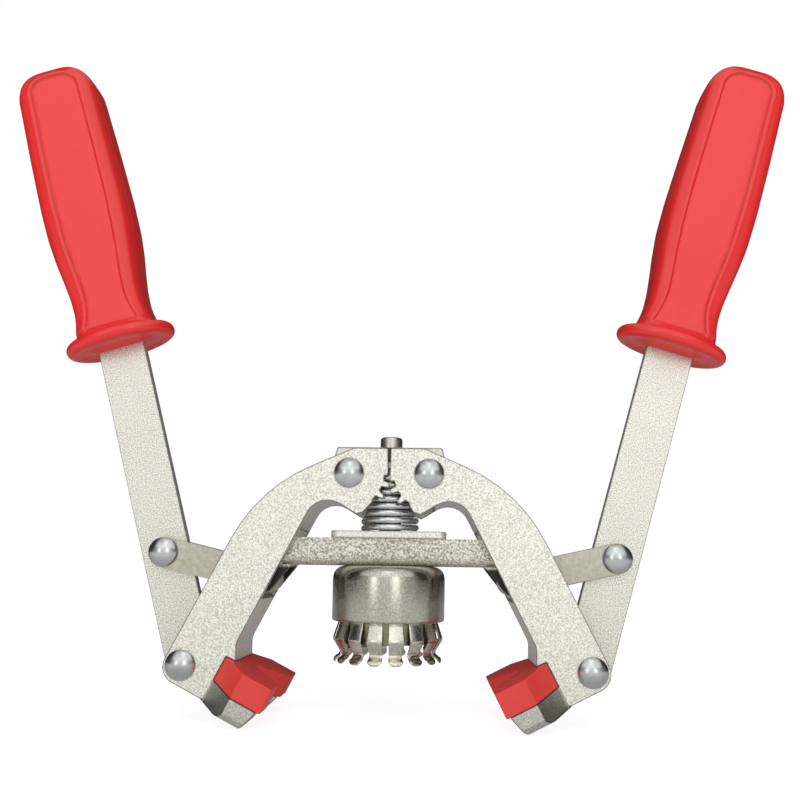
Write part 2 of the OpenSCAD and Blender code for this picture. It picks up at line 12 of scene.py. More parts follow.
import bmesh
import bpy
import numpy as np
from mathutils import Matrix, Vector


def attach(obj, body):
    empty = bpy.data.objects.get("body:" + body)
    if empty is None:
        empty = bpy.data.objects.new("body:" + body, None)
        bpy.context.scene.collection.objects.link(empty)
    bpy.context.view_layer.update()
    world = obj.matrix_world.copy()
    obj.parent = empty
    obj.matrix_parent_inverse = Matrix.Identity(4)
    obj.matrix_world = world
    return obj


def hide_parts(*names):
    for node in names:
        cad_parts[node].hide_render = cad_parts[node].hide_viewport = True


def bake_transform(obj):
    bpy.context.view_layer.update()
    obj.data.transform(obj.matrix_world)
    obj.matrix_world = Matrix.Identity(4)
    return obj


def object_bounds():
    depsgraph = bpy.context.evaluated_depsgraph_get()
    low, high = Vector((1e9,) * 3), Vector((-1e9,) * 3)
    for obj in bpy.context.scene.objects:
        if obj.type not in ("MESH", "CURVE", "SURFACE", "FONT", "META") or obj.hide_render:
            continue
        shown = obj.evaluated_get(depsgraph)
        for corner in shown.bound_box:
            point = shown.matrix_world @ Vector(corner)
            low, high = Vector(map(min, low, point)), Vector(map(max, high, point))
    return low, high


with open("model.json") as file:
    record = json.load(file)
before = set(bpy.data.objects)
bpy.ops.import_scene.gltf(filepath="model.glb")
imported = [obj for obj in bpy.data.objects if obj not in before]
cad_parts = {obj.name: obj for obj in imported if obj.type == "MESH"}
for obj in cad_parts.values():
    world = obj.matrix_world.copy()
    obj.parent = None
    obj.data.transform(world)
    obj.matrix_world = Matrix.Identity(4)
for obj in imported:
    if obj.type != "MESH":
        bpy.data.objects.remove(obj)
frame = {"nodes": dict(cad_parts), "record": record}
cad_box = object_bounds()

MM = 0.001
SIDES = {"left": -1, "right": 1}
SLOT_OF = {part["node"]: part["material_slot"] for part in frame["record"]["subparts"]}
BODIES = frame["record"]["behaviour"]["bodies"]
BODY_OF = {node: body for body, members in BODIES.items() for node in members}

# %% [markdown]
# ## Places
# Two slanted frames carry most pieces. One runs along a lever from its pivot. The other runs down an
# arm's leg and inward to the jaw. A point is worked out on the right, and the left is its mirror image.

# %% Slanted frames
ARM_PIVOT = (14.0, 58.8)
LEVER_PIVOT = (70.0, -8.0)
LINK_PIVOT = (80.596, 30.467)
LEVER_LEAN = math.radians(15.4)
LEG_LEAN = math.radians(27.0)
LEVER_TOP = 209.5


def on_lever(across, depth, along, side):
    """Pivot plus across x the lever's normal plus along x its direction; depth stays Y."""
    x = LEVER_PIVOT[0] + across * math.cos(LEVER_LEAN) + along * math.sin(LEVER_LEAN)
    z = LEVER_PIVOT[1] - across * math.sin(LEVER_LEAN) + along * math.cos(LEVER_LEAN)
    return np.stack(np.broadcast_arrays(side * x, depth, z), -1)


def on_leg(inward, depth, down, side):
    """Pivot plus inward x the leg's normal plus down x the leg's direction; depth stays Y."""
    x = LEVER_PIVOT[0] - inward * math.cos(LEG_LEAN) + down * math.sin(LEG_LEAN)
    z = LEVER_PIVOT[1] - inward * math.sin(LEG_LEAN) - down * math.cos(LEG_LEAN)
    return np.stack(np.broadcast_arrays(side * x, depth, z), -1)


print("lever tip at", on_lever(0.0, 0.0, LEVER_TOP, 1).round(1))

# %% [markdown]
# ## Turning grids into meshes
# Every new piece is a grid of points, rows along the piece and columns around it. Neighbouring points
# make a quad. Rows that shrink to a point close the ends, so doubles are merged and the faces turned
# outward once. A finished piece then hides the imported node it stands for, and rides on that node's body.

# %% Mesh helpers
WELD = 2e-7


def grid_quads(rows, columns):
    """Each quad joins a point to its next column and next row; the last column meets the first."""
    row = np.arange(rows - 1)[:, None]
    column = np.arange(columns)[None, :]
    here = row * columns + column
    beside = row * columns + (column + 1) % columns
    return np.stack([here, beside, beside + columns, here + columns], -1).reshape(-1, 4)


def add_object(name, data):
    """A new object at the origin, linked to the scene."""
    obj = bpy.data.objects.new(name, data)
    bpy.context.scene.collection.objects.link(obj)
    return obj


def crease(mesh, degrees):
    """Smooth shading that breaks where two faces meet at more than an angle."""
    mesh.shade_smooth()
    mesh.set_sharp_from_angle(angle=math.radians(degrees))


def skin(name, grids, degrees, panel=None):
    """One object from grids of points in millimetres, welded where rows close; panel marks each point."""
    points, faces, base = [], [], 0
    for grid in grids:
        rows, columns = grid.shape[:2]
        points.append(grid.reshape(-1, 3) * MM)
        faces.append(grid_quads(rows, columns) + base)
        base += rows * columns
    mesh = bpy.data.meshes.new(name)
    mesh.from_pydata(np.concatenate(points).tolist(), [], np.concatenate(faces).tolist())
    if panel is not None:
        marks = mesh.attributes.new("panel", "FLOAT", "POINT")
        marks.data.foreach_set("value", panel.astype(np.float32).ravel())
    work = bmesh.new()
    work.from_mesh(mesh)
    bmesh.ops.remove_doubles(work, verts=work.verts, dist=WELD)
    bmesh.ops.recalc_face_normals(work, faces=work.faces)
    work.to_mesh(mesh)
    work.free()
    crease(mesh, degrees)
    return add_object(name, mesh)


def finish_piece(obj, coat, node):
    """Gives a piece its finish and the body of the node that it stands for, and hides that node."""
    obj.data.materials.clear()
    obj.data.materials.append(coat)
    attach(obj, BODY_OF[node])
    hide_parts(node)
    return obj


def soften(obj, label, width, segments, degrees):
    """A bevel, its width in millimetres, on every edge that turns by more than an angle."""
    bevel = obj.modifiers.new(label, "BEVEL")
    bevel.width = width * MM
    bevel.segments = segments
    bevel.limit_method = "ANGLE"
    bevel.angle_limit = math.radians(degrees)
    bevel.harden_normals = True


print("a grid of 3 rows and 4 columns has", len(grid_quads(3, 4)), "quads")

# %% [markdown]
# ## Profiles
# Turned and drawn pieces are a profile spun about an axis. Neither drawing nor moulding leaves a sharp
# corner, so a profile is typed as a few corners, and each of them is then replaced by a small arc.


# %% Profile helpers
def lathe(profile, centre, axis, around):
    """Each (radius, height) pair becomes a ring: radius x (cos, sin) of the turn, at that height."""
    radius, height = np.asarray(profile, float).T
    turn = np.linspace(0, 2 * np.pi, around, endpoint=False)
    a, b = radius[:, None] * np.cos(turn), radius[:, None] * np.sin(turn)
    rise = np.broadcast_to(height[:, None], a.shape)
    x, z = centre
    if axis == "Y":
        return np.stack([x + a, rise, z + b], -1)
    return np.stack([x + a, b, z + rise], -1)


def eased(corners, radii, steps):
    """A polyline with an arc at each inner corner: a quadratic blend of the corner's two legs.

    An arc takes at most 0.48 of its shorter leg, so that two neighbours never meet.
    """
    corners = np.asarray(corners, float)
    before, here, after = corners[:-2], corners[1:-1], corners[2:]
    back = np.linalg.norm(before - here, axis=1, keepdims=True)
    onward = np.linalg.norm(after - here, axis=1, keepdims=True)
    reach = np.minimum(np.minimum(back, onward) * 0.48, np.reshape(radii, (-1, 1)))
    start = (here + (before - here) / back * reach)[:, None]
    end = (here + (after - here) / onward * reach)[:, None]
    t = np.linspace(0, 1, steps)[None, :, None]
    arcs = (1 - t) ** 2 * start + 2 * t * (1 - t) * here[:, None] + t ** 2 * end
    return np.concatenate([corners[:1], arcs.reshape(-1, corners.shape[1]), corners[-1:]])


def closed(corners, radii, steps):
    """A closed lathe profile: the eased outline, joined back to its first point."""
    outline = eased(corners, radii, steps)
    return np.concatenate([outline, outline[:1]])


def smooth_step(value, low, high):
    """0 below low, 1 above high, and an S curve between them."""
    t = np.clip((value - low) / (high - low), 0, 1)
    return t * t * (3 - 2 * t)


print("one eased corner has", len(eased([(0, 0), (1, 0), (1, 1)], [0.2], steps=6)) - 2, "points")

# %% [markdown]
# ## Shared effects
# Plating, moulded plastic and turned steel all vary a little over their surface. One node group works
# out a grain mask on Object coordinates, and each material sets its own scale. A second group finds
# sharp edges, where it lays a dark line of painted shade. The shader itself stays in the material, where
# the gloss constants sit on its own sockets.

# %% Node helpers
RANGE_ENDS = ("From Min", "From Max", "To Min", "To Max")


def add_group(name, inputs, output):
    """A new shader group with float inputs and one float output, and its two end nodes."""
    tree = bpy.data.node_groups.new(name, "ShaderNodeTree")
    for label, value in inputs.items():
        socket = tree.interface.new_socket(label, in_out="INPUT", socket_type="NodeSocketFloat")
        socket.default_value = value
    tree.interface.new_socket(output, in_out="OUTPUT", socket_type="NodeSocketFloat")
    return tree, tree.nodes.new("NodeGroupInput"), tree.nodes.new("NodeGroupOutput")


def math_node(tree, operation, a, b=0.0):
    """One math step; a and b are sockets or numbers."""
    step = tree.nodes.new("ShaderNodeMath")
    step.operation = operation
    for socket, value in zip(step.inputs, (a, b)):
        if isinstance(value, (int, float)):
            socket.default_value = value
        else:
            tree.links.new(value, socket)
    return step.outputs[0]


def map_range(tree, value, *ends):
    """A node that carries a value from one range to another; ends are low and high of each."""
    step = tree.nodes.new("ShaderNodeMapRange")
    for label, number in zip(RANGE_ENDS, ends):
        step.inputs[label].default_value = number
    tree.links.new(value, step.inputs["Value"])
    return step


print("node helpers ready for", ", ".join(RANGE_ENDS))


# %% Node groups
def grain_group():
    """Fine noise for the grain, broad noise for clouding: grain = fine x share + broad x the rest."""
    tree, start, end = add_group("surface grain", {"Scale": 1500.0, "Broad": 40.0, "Share": 0.7}, "Grain")
    place = tree.nodes.new("ShaderNodeTexCoord").outputs["Object"]
    fine = tree.nodes.new("ShaderNodeTexNoise")
    broad = tree.nodes.new("ShaderNodeTexNoise")
    for noise, label, detail in ((fine, "Scale", 2.0), (broad, "Broad", 3.0)):
        noise.inputs["Detail"].default_value = detail
        tree.links.new(place, noise.inputs["Vector"])
        tree.links.new(start.outputs[label], noise.inputs["Scale"])
    share = start.outputs["Share"]
    rest = math_node(tree, "SUBTRACT", 1.0, share)
    mixed = math_node(tree, "ADD", math_node(tree, "MULTIPLY", fine.outputs["Fac"], share),
                      math_node(tree, "MULTIPLY", broad.outputs["Fac"], rest))
    tree.links.new(mixed, end.inputs["Grain"])
    return tree


def painted_edge_shade_group():
    """A painted-shade mask, 1 on a sharp edge: how far the rounded normal turns from the true one,
    stretched.
    """
    tree, start, end = add_group("painted edge shade", {"Radius": 0.0004}, "Mask")
    round_off = tree.nodes.new("ShaderNodeBevel")
    round_off.samples = 8
    tree.links.new(start.outputs["Radius"], round_off.inputs["Radius"])
    turned_by = tree.nodes.new("ShaderNodeVectorMath")
    turned_by.operation = "DOT_PRODUCT"
    tree.links.new(round_off.outputs["Normal"], turned_by.inputs[0])
    tree.links.new(tree.nodes.new("ShaderNodeNewGeometry").outputs["Normal"], turned_by.inputs[1])
    stretch = map_range(tree, turned_by.outputs["Value"], 0.99, 0.88, 0.0, 1.0)
    tree.links.new(stretch.outputs["Result"], end.inputs["Mask"])
    return tree


GRAIN, PAINTED_EDGE_SHADE = grain_group(), painted_edge_shade_group()
print("groups", GRAIN.name, "and", PAINTED_EDGE_SHADE.name)

# %% [markdown]
# ## Building a material
# Every finish is the same short chain: the grain picks a colour between a dark and a light one, picks a
# roughness and lifts the surface a little. Painted textures could do the same, but would need an image.
# Masks then darken the colour as painted shade: where parts lie deep, on the noses, in a groove and
# along sharp edges. They read Object coordinates or the piece's own attribute, so they stay in place
# when the piece moves.

# %% Material builder
# Shares of painted shade: how far a shadow mask takes a colour, and its strength on the nose and in the
# groove.
DEEP_SHARE = 0.1
NOSE_PAINTED_SHADE = 0.3
GROOVE_SHADE = 0.4


def use_group(tree, group, labels, values):
    """A shared effect placed in a material, with its own values."""
    node = tree.nodes.new("ShaderNodeGroup")
    node.node_tree = group
    for label, value in zip(labels, values):
        node.inputs[label].default_value = value
    return node


def band(tree, axis, low, high, base=0.0):
    """A mask on the distance from the middle along an axis: base where it is low, 1 where it is high."""
    place = tree.nodes.new("ShaderNodeSeparateXYZ")
    tree.links.new(tree.nodes.new("ShaderNodeTexCoord").outputs["Object"], place.inputs[0])
    distance = math_node(tree, "ABSOLUTE", place.outputs[axis])
    return map_range(tree, distance, low, high, base, 1.0).outputs["Result"]


def darken(tree, colour, shadow, deep):
    """A colour mixed toward a deep one by a shadow mask."""
    mix = tree.nodes.new("ShaderNodeMix")
    mix.data_type = "RGBA"
    mix.inputs["B"].default_value = (*deep, 1.0)
    tree.links.new(shadow, mix.inputs["Factor"])
    tree.links.new(colour, mix.inputs["A"])
    return mix.outputs["Result"]


def finish(name, dark, light, metallic, rough, grain, bump, spread=(0.30, 0.70),
           mask=None, edge=None, flare=None, shade=None):
    """Grain, times a mask where there is one, picks a colour and a roughness and lifts the surface.

    Painted shade darkens the colour: where a pair of bands overlap, on a polished flare, in the groove
    round a masked panel (most where the mask is a half) and along sharp edges.
    """
    material = bpy.data.materials.new(name)
    material.use_nodes = True
    tree = material.node_tree
    shader = tree.nodes["Principled BSDF"]
    shader.inputs["Metallic"].default_value = metallic
    amount = use_group(tree, GRAIN, ("Scale", "Broad", "Share"), grain).outputs["Grain"]
    # Each entry of shadows is painted shade, a mask that darkens the colour.
    shadows = []
    # Painted shade where a pair of bands overlap.
    if shade:
        shadows.append(math_node(tree, "MULTIPLY", *(band(tree, *limits) for limits in shade)))
    # Painted shade: the flared nose turns fully metallic, and its colour is darkened by a share.
    if flare:
        tree.links.new(band(tree, "Y", *flare, metallic), shader.inputs["Metallic"])
        shadows.append(math_node(tree, "MULTIPLY", band(tree, "Y", *flare), NOSE_PAINTED_SHADE))
    # Painted shade in the groove round the panel, strongest where the mask is a half.
    if mask:
        attribute = tree.nodes.new("ShaderNodeAttribute")
        attribute.attribute_name = mask
        inside = attribute.outputs["Fac"]
        amount = math_node(tree, "MULTIPLY", amount, inside)
        off_middle = math_node(tree, "ABSOLUTE", math_node(tree, "SUBTRACT", inside, 0.5))
        fade = math_node(tree, "MULTIPLY", off_middle, 2 * GROOVE_SHADE)
        shadows.append(math_node(tree, "SUBTRACT", GROOVE_SHADE, fade))
    # Painted shade: a dark line along sharp edges.
    if edge:
        shadows.append(use_group(tree, PAINTED_EDGE_SHADE, ("Radius",), (edge,)).outputs["Mask"])
    ramp = tree.nodes.new("ShaderNodeValToRGB")
    for stop, position, tone in zip(ramp.color_ramp.elements, spread, (dark, light)):
        stop.position = position
        stop.color = (*tone, 1.0)
    lift = tree.nodes.new("ShaderNodeBump")
    for label, value in zip(("Strength", "Distance"), bump):
        lift.inputs[label].default_value = value
    tree.links.new(amount, ramp.inputs["Fac"])
    tree.links.new(amount, lift.inputs["Height"])
    colour = ramp.outputs["Color"]
    for shadow in shadows:
        colour = darken(tree, colour, shadow, [DEEP_SHARE * part for part in dark])
    tree.links.new(colour, shader.inputs["Base Color"])
    tree.links.new(map_range(tree, amount, *spread, *rough).outputs["Result"], shader.inputs["Roughness"])
    tree.links.new(lift.outputs["Normal"], shader.inputs["Normal"])
    return material


print("a shadow takes a colour down to", DEEP_SHARE, "of its dark tone")

# %% [markdown]
# ## Plated finishes
# The plated sheet sparkles in fine grains, so its grain is strong and lifts the surface a little. It is
# only partly metallic, because satin plating scatters much of its light, and turns fully metallic on
# the flared noses, which the press has polished, where its colour is also darkened as painted shade.
# Sharp edges carry a dark line of painted shade. The levers and the bracket get darker copies of the
# plating as painted shade. The bracket has painted shade in the seam between the arms, and so do the
# crossbar's dropped ears, which stand deep in the arms' slots.

# %% Plated finishes
SATIN = 0.65
# Where the nose flares: fully metallic, and darker as painted shade.
NOSE_FLARE = (0.0132, 0.0140)
# Painted shade on the crossbar's dropped ears, which sit in the arms' shadow.
EAR_PAINTED_SHADE = (("Z", 0.0264, 0.0256), ("X", 0.030, 0.031))
# Painted shade on the bracket in the seam between the arms.
SEAM_PAINTED_SHADE = (("X", 0.0024, 0.0020), ("Y", 0.0088, 0.0092))

plated = finish(
    "satin plating", dark=(0.54, 0.535, 0.46), light=(0.98, 0.97, 0.88), metallic=SATIN,
    rough=(0.34, 0.46), grain=(2200, 45, 0.95), bump=(0.6, 0.00004), spread=(0.36, 0.62),
    edge=0.0009, flare=NOSE_FLARE)
# A darker copy of the plating, as painted shade for the levers, which lie behind the arms.
lever_plating_painted_shade = finish(
    "satin lever plating with painted shade", dark=(0.46, 0.455, 0.39), light=(0.90, 0.89, 0.80), metallic=SATIN,
    rough=(0.34, 0.46), grain=(2200, 45, 0.95), bump=(0.6, 0.00004), spread=(0.38, 0.60),
    edge=0.0007)
brushed = finish(
    "brushed link plating", dark=(0.37, 0.35, 0.275), light=(0.615, 0.595, 0.50), metallic=SATIN,
    rough=(0.34, 0.48), grain=(700, 90, 0.6), bump=(0.3, 0.00006))
speckled = finish(
    "speckled channel plating", dark=(0.265, 0.255, 0.20), light=(0.84, 0.83, 0.715), metallic=SATIN,
    rough=(0.30, 0.44), grain=(1700, 60, 0.95), bump=(0.7, 0.00010), spread=(0.36, 0.62),
    shade=EAR_PAINTED_SHADE)
# A darker copy of the plating, as painted shade for the bracket, which lies behind the arms.
shaded = finish(
    "dull bracket plating with painted shade", dark=(0.52, 0.51, 0.44), light=(0.86, 0.85, 0.76), metallic=SATIN,
    rough=(0.36, 0.50), grain=(1500, 45, 0.8), bump=(0.3, 0.00006), edge=0.0013, shade=SEAM_PAINTED_SHADE)
print("plated finishes", [coat.name for coat in (plated, lever_plating_painted_shade, brushed, speckled, shaded)])

# %% [markdown]
# ## Bare metal and red plastic
# The rivets, wire, spindle and bell are bare or nickelled metal, fully metallic and mostly smoother than
# the sheet. The two reds differ: the grips are finely textured inside a panel, with painted shade in the
# groove round it, and smooth outside it. The pads are plain and a little deeper.

# %% Metal and plastic finishes
METAL, PLASTIC = 1.0, 0.0

# The edge mask paints a thin dark line of shade along the rivet's sharp edges at its rim.
rivet_steel = finish(
    "bright rivet steel", dark=(0.46, 0.48, 0.465), light=(0.60, 0.62, 0.60), metallic=METAL,
    rough=(0.20, 0.28), grain=(420, 160, 0.6), bump=(0.3, 0.00016), edge=0.0006)
spring_zinc = finish(
    "bright zinc wire", dark=(0.46, 0.48, 0.47), light=(0.78, 0.80, 0.80), metallic=METAL,
    rough=(0.22, 0.34), grain=(900, 120, 0.6), bump=(0.15, 0.00004))
turned = finish(
    "turned steel", dark=(0.42, 0.41, 0.38), light=(0.62, 0.61, 0.57), metallic=METAL,
    rough=(0.28, 0.42), grain=(1500, 80, 0.7), bump=(0.20, 0.00004))
cup_nickel = finish(
    "satin nickel", dark=(0.36, 0.345, 0.285), light=(0.595, 0.58, 0.50), metallic=METAL,
    rough=(0.16, 0.24), grain=(1500, 60, 0.9), bump=(0.12, 0.00004))
sleeve_nickel = finish(
    "dull sleeve nickel", dark=(0.20, 0.19, 0.12), light=(0.34, 0.32, 0.22), metallic=METAL,
    rough=(0.34, 0.46), grain=(900, 60, 0.7), bump=(0.2, 0.00005))
collet_steel = finish(
    "polished collet steel", dark=(0.46, 0.45, 0.36), light=(0.80, 0.78, 0.70), metallic=METAL,
    rough=(0.16, 0.30), grain=(1300, 90, 0.6), bump=(0.25, 0.00005))
# Its panel mask also paints shade into the groove round the panel.
grip_red = finish(
    "grained red plastic", dark=(0.84, 0.030, 0.028), light=(0.90, 0.052, 0.049), metallic=PLASTIC,
    rough=(0.24, 0.55), grain=(1500, 25, 0.9), bump=(0.45, 0.00012), spread=(0.0, 0.62), mask="panel")
pad_red = finish(
    "moulded red plastic", dark=(0.77, 0.042, 0.036), light=(0.86, 0.058, 0.048), metallic=PLASTIC,
    rough=(0.40, 0.56), grain=(500, 60, 0.5), bump=(0.25, 0.00010))
FINISHES = {"plated_steel": plated, "rivet_steel": rivet_steel, "spring_wire": spring_zinc,
            "turned_steel": turned, "cup_nickel": cup_nickel, "collet_steel": collet_steel,
            "red_grip": grip_red, "red_pad": pad_red}
for node, obj in frame["nodes"].items():
    obj.data.materials.clear()
    obj.data.materials.append(FINISHES[SLOT_OF[node]])
print("finished", len(SLOT_OF), "nodes with", len(FINISHES), "materials")

# %% [markdown]
# ## Camera
# The photograph is taken from close in front, a little to the right of the bell and level with the top
# of its cup, looking slightly up. A short lens gives the strong convergence of the levers. A small
# shift keeps the tool in the frame without leaning its uprights further.

# %% Camera
SENSOR, PICTURE_WIDTH, FOCAL_PIXELS = 36.0, 800, 830
LOOK_UP, ROLL, LOOK_LEFT = 7.1, -0.9, 1.45

camera = add_object("camera", bpy.data.cameras.new("camera"))
camera.location = (0.016, -0.300, 0.025)
camera.rotation_euler = [math.radians(turn) for turn in (90 + LOOK_UP, ROLL, LOOK_LEFT)]
camera.data.sensor_width = SENSOR
camera.data.lens = SENSOR * FOCAL_PIXELS / PICTURE_WIDTH
camera.data.shift_x = -0.0157
camera.data.shift_y = 0.0848
camera.data.clip_start = 0.01
bpy.context.scene.camera = camera
print("camera at", [round(c, 3) for c in camera.location])

# %% [markdown]
# ## Grips
# Each grip is one red moulding: an oval flange, a waisted neck, a long body with rounded sides and a
# sunk panel framed by a bead on both faces. Its outline could be cut from two crossed extrusions, but a
# single loft follows the moulding better. Rows run along the lever, and each row is a rounded box.

# %% Grip rows
GRIP_START, GRIP_TOP = 118.5, 231.3
BAR_HALF = (8.6, 1.9)
FLANGE_HALF, BEAD_R = (17.8, 11.0), 2.5
BODY_START, BODY_ROWS, BODY_SQUARE = 125.9, 230, 4.6
BODY_PLACES = [BODY_START, 129, 133, 139, 146, 154, 163, 175, 195, 215, GRIP_TOP]
BODY_WIDTHS = [14.3, 13.5, 13.0, 13.2, 14.0, 15.1, 15.9, 16.1, 15.65, 14.95, 14.5]
BODY_DEPTHS = [9.4, 9.0, 9.0, 9.1, 9.7, 10.5, 10.9, 11.0, 10.8, 10.4, 10.0]
HEAD_ROUND = (12.0, 7.0)
WINDOW = 15
POINT, OVAL, SQUARE = 0.01, 2.0, 12.0


def smoothed(along, values):
    """Values at the body's places, joined by straight lines and averaged under a bell-shaped window."""
    bell = np.hanning(WINDOW)
    joined = np.pad(np.interp(along, BODY_PLACES, values), WINDOW // 2, "edge")
    return np.convolve(joined, bell / bell.sum(), "valid")


def round_head(half, radius, left):
    """A half size that ends in a quarter circle; left is what remains to the top."""
    past = np.maximum(radius - left, 0)
    return half - radius + np.sqrt(np.maximum(radius ** 2 - past ** 2, 0))


def grip_rows():
    """Along, half width, half depth and squareness of each row, from slot over flange to head."""
    wide, deep = BAR_HALF
    slot = [(LEVER_TOP + 0.1, POINT, POINT, OVAL), (LEVER_TOP + 0.1, wide, deep, SQUARE),
            (GRIP_START - 0.1, wide, deep, SQUARE)]
    lip = [(GRIP_START - 0.35, wide + 0.25, deep + 0.25, 10), (GRIP_START, wide + 0.9, deep + 0.9, 8),
           (GRIP_START + 0.6, 12.5, 6.6, 3), (GRIP_START + 0.7, 15.5, 9.7, 2.2)]
    turn = np.linspace(0.1, 2.6, 14)
    swell = BEAD_R * np.sin(turn)
    bead = np.stack([GRIP_START + BEAD_R - BEAD_R * np.cos(turn), FLANGE_HALF[0] + swell,
                     FLANGE_HALF[1] + swell, np.full_like(turn, OVAL)], -1)
    fillet = [(123.5, 16.0, 11.2, 2.4), (124.1, 15.2, 10.4, 2.9), (125.1, 14.6, 9.7, 3.3)]
    along = np.linspace(BODY_START, GRIP_TOP - 0.02, BODY_ROWS)
    halves = [round_head(smoothed(along, sizes), radius, GRIP_TOP - along)
              for sizes, radius in zip((BODY_WIDTHS, BODY_DEPTHS), HEAD_ROUND)]
    body = np.stack([along, *halves, np.full_like(along, BODY_SQUARE)], -1)
    close = [(GRIP_TOP, 2.0, 1.6, 3), (GRIP_TOP, POINT, POINT, OVAL)]
    return np.concatenate([np.array(part, float) for part in (slot, lip, bead, fillet, body, close)])


GRIP_ROWS = grip_rows()
SLOT_ROWS, CLOSE_ROWS = 3, 2
print("grip rows", len(GRIP_ROWS))

# %% [markdown]
# ## Grip panels
# The panel is pressed into both faces, with a groove just inside its edge and a bead outside it. A bump
# map could fake it, but its edge shows in the outline of the highlights, so the grid itself is sunk. The
# distance from the panel's edge gives every part of it, and also marks where the fine texture and the
# groove's painted shade lie.

# %% Grip panel
RIM_PLACES = [122, 128, 136, 150, 165, GRIP_TOP]
RIM_WIDTHS = [3.6, 4.4, 5.4, 5.9, 6.2, 5.4]
OUTER_RIM, HEAD_RIM, PANEL_ROUND = 1.1, 5.6, 4.5
PANEL_SUNK, LINE_HIGH, RING_DEEP, RING_R = 0.55, 0.22, 0.10, 2.2


def panel_edge(across, along, half_width):
    """Distance inside the panel's edge: the least of those from its sides and from its rounded head.

    The rim is wider on the outer side.
    """
    rim = np.interp(along, RIM_PLACES, RIM_WIDTHS)
    inside = half_width - rim - OUTER_RIM * (across > 0) - np.abs(across)
    top = GRIP_TOP - HEAD_RIM - along
    corner = np.hypot(np.maximum(PANEL_ROUND - inside, 0), np.maximum(PANEL_ROUND - top, 0))
    in_corner = (inside < PANEL_ROUND) & (top < PANEL_ROUND)
    return np.where(in_corner, PANEL_ROUND - corner, np.minimum(inside, top))


def bell_curve(value, middle, width):
    """1 at the middle, falling off on both sides as exp(-(distance / width) squared)."""
    return np.exp(-(((value - middle) / width) ** 2))


def sunk_panel(edge, across, along, circles):
    """How far a face sinks: the panel's step, a groove inside it and any rings, less a bead outside."""
    step = PANEL_SUNK * smooth_step(edge, -0.5, 0.3)
    groove = LINE_HIGH * bell_curve(edge, 0.3, 0.4)
    bead = LINE_HIGH * bell_curve(edge, -1.2, 0.8)
    rings = sum(RING_DEEP * bell_curve(np.hypot(across, along - place), RING_R, 0.3) for place in circles)
    return step + groove - bead + rings


print("panel is sunk", PANEL_SUNK, "mm")

# %% [markdown]
# ## Lofting the grips
# Each row becomes a rounded box. A superellipse is used because one power takes it from an oval, at the
# flange, to a nearly square bar slot. A low flat spine stands on each narrow side, and the whole grip
# leans a little further outward than its lever. Only the right grip shows ejector rings.

# %% Grips
GRIP_LEAN = math.radians(1.2)
EJECTOR_RINGS = {"left": (), "right": (131.5, 221.0)}
SPINE_HIGH, SPINE_HALF, SPINE_START, SPINE_FULL, SPINE_END = 0.28, 4.6, 148, 164, 218.0
AROUND_GRIP = 256


def rounded_box(half_width, half_depth, power, turn):
    """A superellipse: the distance from the axis is (|cos/width|^p + |sin/depth|^p)^(-1/p) at each turn."""
    c, s = np.cos(turn)[None, :], np.sin(turn)[None, :]
    reach = ((np.abs(c) / half_width) ** power + (np.abs(s) / half_depth) ** power) ** (-1 / power)
    return reach * c, reach * s


def spine_height(depth, along):
    """A flat ridge: full near the middle of the depth, rising past its start and stopping at its end."""
    across_side = smooth_step(SPINE_HALF - np.abs(depth), -0.5, 0.5)
    along_side = smooth_step(SPINE_END - along, -0.5, 0.5) * smooth_step(along, SPINE_START, SPINE_FULL)
    return SPINE_HIGH * across_side * along_side


def grip_grid(name, side):
    """Each row is a rounded box leaned outward; faces sink at the panel, and each side has a spine."""
    turn = np.linspace(0, 2 * np.pi, AROUND_GRIP, endpoint=False)
    along, half_width, half_depth, power = (column[:, None] for column in GRIP_ROWS.T)
    across, depth = rounded_box(half_width, half_depth, power, turn)
    along = np.broadcast_to(along, across.shape)
    row = np.arange(len(GRIP_ROWS))[:, None]
    body = (row >= len(GRIP_ROWS) - BODY_ROWS - CLOSE_ROWS) & (along < GRIP_TOP - 0.5)
    on_face = smooth_step(np.abs(depth) / half_depth, 0.55, 0.75) * body
    edge = panel_edge(across, along, half_width)
    spine = spine_height(depth, along) * body * (np.abs(across) > 6)
    depth = depth - np.sign(depth) * sunk_panel(edge, across, along, EJECTOR_RINGS[name]) * on_face
    across = across + np.sign(across) * spine
    reach = (along - GRIP_START) * (row >= SLOT_ROWS)
    leaned = across * math.cos(GRIP_LEAN) + reach * math.sin(GRIP_LEAN)
    height = along - reach * (1 - math.cos(GRIP_LEAN)) - across * math.sin(GRIP_LEAN) * (reach != 0)
    return on_lever(leaned, depth, height, side), smooth_step(edge, -0.2, 0.3) * on_face


for name, side in SIDES.items():
    points, panel = grip_grid(name, side)
    grip = skin(f"{name}_moulded_grip", [points], degrees=50, panel=panel)
    finish_piece(grip, grip_red, f"{name}_grip")
    print(grip.name, len(grip.data.vertices), "points")

# %% [markdown]
# ## Sheet metal with eased edges
# Pressed and sheared steel never has a knife edge: every corner catches a thin line of light. The arms,
# levers, links, bracket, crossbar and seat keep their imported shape, so each is a merged copy with a
# narrow bevel on its sharp edges.

# %% Eased copies
CAD_WELD, FLAT, SHARP = 1e-6, 0.6, 28


def eased_copy(node, width, coat):
    """The node's own triangles, merged and joined into flat faces, with a bevel on sharp edges."""
    mesh = frame["nodes"][node].data.copy()
    work = bmesh.new()
    work.from_mesh(mesh)
    bmesh.ops.remove_doubles(work, verts=work.verts, dist=CAD_WELD)
    bmesh.ops.dissolve_limit(work, angle_limit=math.radians(FLAT), verts=work.verts, edges=work.edges)
    work.to_mesh(mesh)
    work.free()
    crease(mesh, SHARP)
    obj = add_object(f"{node}_eased", mesh)
    soften(obj, "eased edges", width, segments=2, degrees=SHARP)
    return finish_piece(obj, coat, node)


